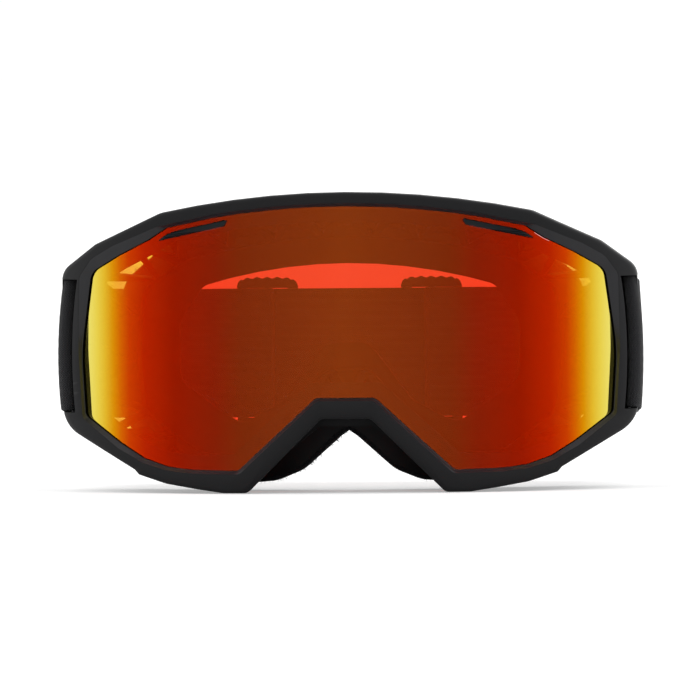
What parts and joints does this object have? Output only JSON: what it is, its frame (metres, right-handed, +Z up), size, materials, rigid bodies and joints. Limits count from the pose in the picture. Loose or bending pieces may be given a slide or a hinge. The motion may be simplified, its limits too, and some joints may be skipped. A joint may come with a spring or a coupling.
{
  "type": "ski goggles",
  "caption": "Ski goggles: curved double mirror lens in a moulded frame, vented chassis, layered face foam, elastic strap with two sliders.",
  "frame": {"origin": "centre of the bounding box in X and Y, on the surface that the goggles rest on", "axes": "-Y is the way the wearer looks, +X is to the right as seen from the lens side, +Z is up"},
  "size_m": [0.1796, 0.15, 0.0918],
  "materials": {
    "frame_plastic": "fine moulded matte black polyurethane",
    "chassis_plastic": "moulded satin black",
    "mirror_lens": "red to yellow mirror coat on a rose-copper lens",
    "inner_lens": "clear rose-copper tint",
    "gasket_foam": "closed-cell foam",
    "vent_screen": "matte",
    "vent_foam": "open-cell foam",
    "face_foam": "open-cell foam",
    "fleece": "brushed fleece",
    "webbing": "herringbone elastic webbing",
    "slider_plastic": "moulded matte"
  },
  "bodies": {
    "goggles": {"front_frame": "frame_plastic", "face_chassis": "chassis_plastic", "outer_lens": "mirror_lens", "inner_lens": "inner_lens", "lens_gasket": "gasket_foam", "lens_vent_left": "vent_screen", "lens_vent_right": "vent_screen", "top_vent_foam": "vent_foam", "side_vent_foam_left": "vent_foam", "side_vent_foam_right": "vent_foam", "bottom_vent_foam_left": "vent_foam", "bottom_vent_foam_right": "vent_foam", "face_foam_base": "face_foam", "face_foam_mid": "face_foam", "fleece_liner": "fleece", "strap_left": "webbing", "strap_right": "webbing"},
    "strap": {"strap_rear": "webbing"},
    "slider_left": {"slider_left": "slider_plastic", "strap_tail_left": "webbing"},
    "slider_right": {"slider_right": "slider_plastic", "strap_tail_right": "webbing"}
  },
  "joints": [
    {"name": "strap_stretch", "type": "slide", "parent": "goggles", "child": "strap", "axis": [0, 0.9988, -0.0489], "range_m": [0, 0.06], "stiffness_N_per_m": 160, "deforming": ["strap_left", "strap_right"]},
    {"name": "slider_left_slide", "type": "slide", "parent": "strap", "child": "slider_left", "axis": [-1, 0, 0], "range_m": [-0.012, 0.013], "deforming": ["strap_tail_left"]},
    {"name": "slider_right_slide", "type": "slide", "parent": "strap", "child": "slider_right", "axis": [1, 0, 0], "range_m": [-0.008, 0.018], "deforming": ["strap_tail_right"]}
  ]
}
